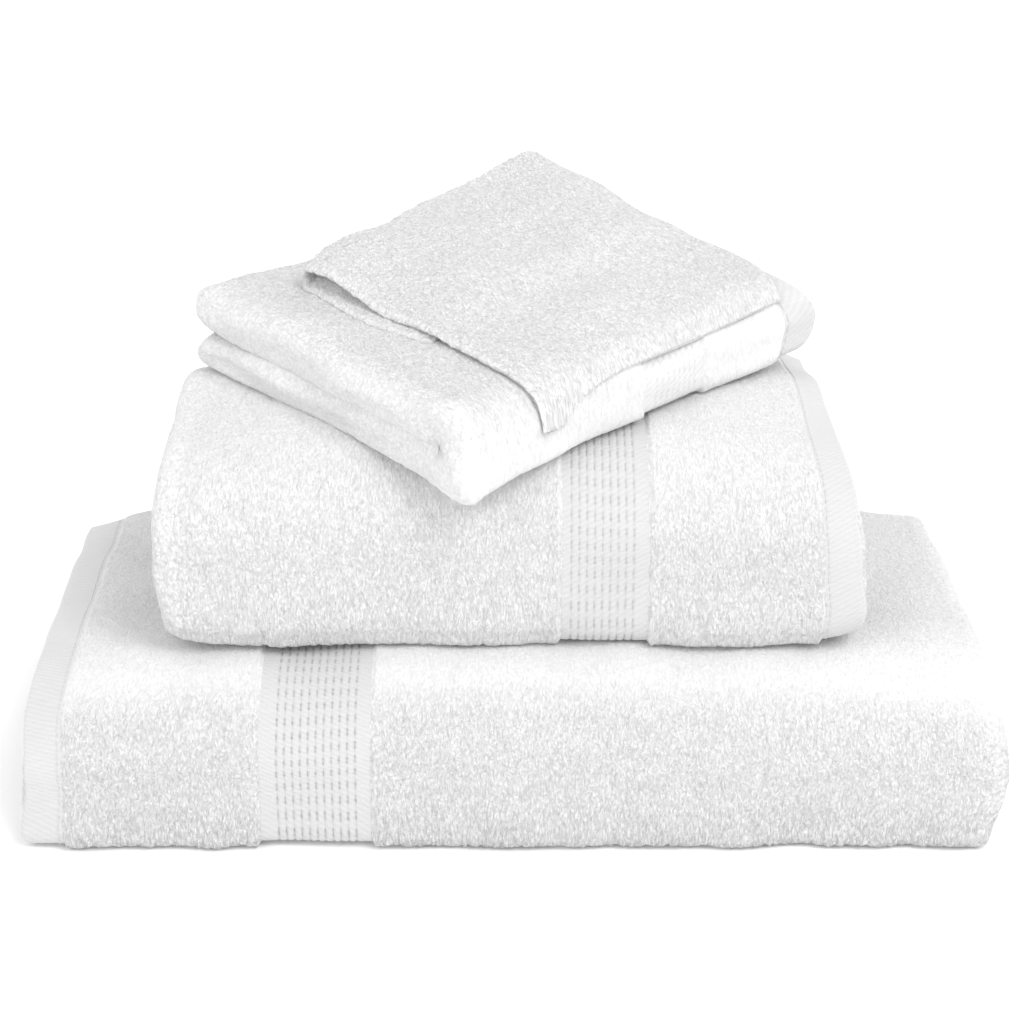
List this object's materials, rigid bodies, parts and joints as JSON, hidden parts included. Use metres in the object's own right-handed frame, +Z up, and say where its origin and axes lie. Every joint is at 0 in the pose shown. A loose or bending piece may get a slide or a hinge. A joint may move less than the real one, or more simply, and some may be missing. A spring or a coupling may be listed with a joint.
{
  "type": "bath towel set",
  "caption": "Stack of folded white terry towels: bath sheet, bath towel, hand towel turned corner-on and a loosely folded washcloth, with woven dobby borders and flat end hems.",
  "frame": {"origin": "centre of the bath sheet's underside, on the surface that the set rests on", "axes": "+X along the bath sheet from its end hem to its side fold, -Y is the front with the smooth front bends, +Z up"},
  "size_m": [0.45, 0.3109, 0.2399],
  "materials": {
    "terry": "white cotton terry, looped pile, matt",
    "border_weave": "flat woven dobby border with raised ribs",
    "hem_weave": "flat twill end hem",
    "hem_thread": "white sewing thread"
  },
  "bodies": {
    "bath_sheet": {"bath_sheet_end_hem": "hem_weave", "bath_sheet_hem_thread": "hem_thread", "bath_sheet_end_terry": "terry", "bath_sheet_border": "border_weave", "bath_sheet_field": "terry", "bath_sheet_side_fold": "terry", "bath_sheet_back_fold": "terry", "bath_sheet_inner_folds": "terry"},
    "bath_towel": {"bath_towel_end_hem": "hem_weave", "bath_towel_hem_thread": "hem_thread", "bath_towel_end_terry": "terry", "bath_towel_border": "border_weave", "bath_towel_field": "terry", "bath_towel_side_fold": "terry", "bath_towel_back_fold": "terry", "bath_towel_inner_folds": "terry"},
    "hand_towel": {"hand_towel_end_hem": "hem_weave", "hand_towel_hem_thread": "hem_thread", "hand_towel_end_terry": "terry", "hand_towel_border": "border_weave", "hand_towel_field": "terry", "hand_towel_upper_nose": "terry", "hand_towel_lower_nose": "terry", "hand_towel_upper_folds": "terry", "hand_towel_lower_folds": "terry"},
    "washcloth": {"washcloth_lower_leaf": "terry", "washcloth_lower_hem": "hem_weave", "washcloth_fold": "terry"},
    "washcloth_leaf": {"washcloth_upper_leaf": "terry", "washcloth_upper_hem": "hem_weave", "washcloth_hem_thread": "hem_thread"}
  },
  "joints": [
    {"name": "bath_towel_lift", "type": "slide", "parent": "bath_sheet", "child": "bath_towel", "axis": [0, 0, 1], "range_m": [0, 0.2]},
    {"name": "hand_towel_lift", "type": "slide", "parent": "bath_towel", "child": "hand_towel", "axis": [0, 0, 1], "range_m": [0, 0.15]},
    {"name": "washcloth_lift", "type": "slide", "parent": "hand_towel", "child": "washcloth", "axis": [0, 0, 1], "range_m": [0, 0.15]},
    {"name": "washcloth_leaf_open", "type": "hinge", "parent": "washcloth", "child": "washcloth_leaf", "pos_m": [-0.04584, 0.09598, 0.22981], "axis": [-0.6984, -0.7134, -0.0574], "range_deg": [0, 110]}
  ]
}
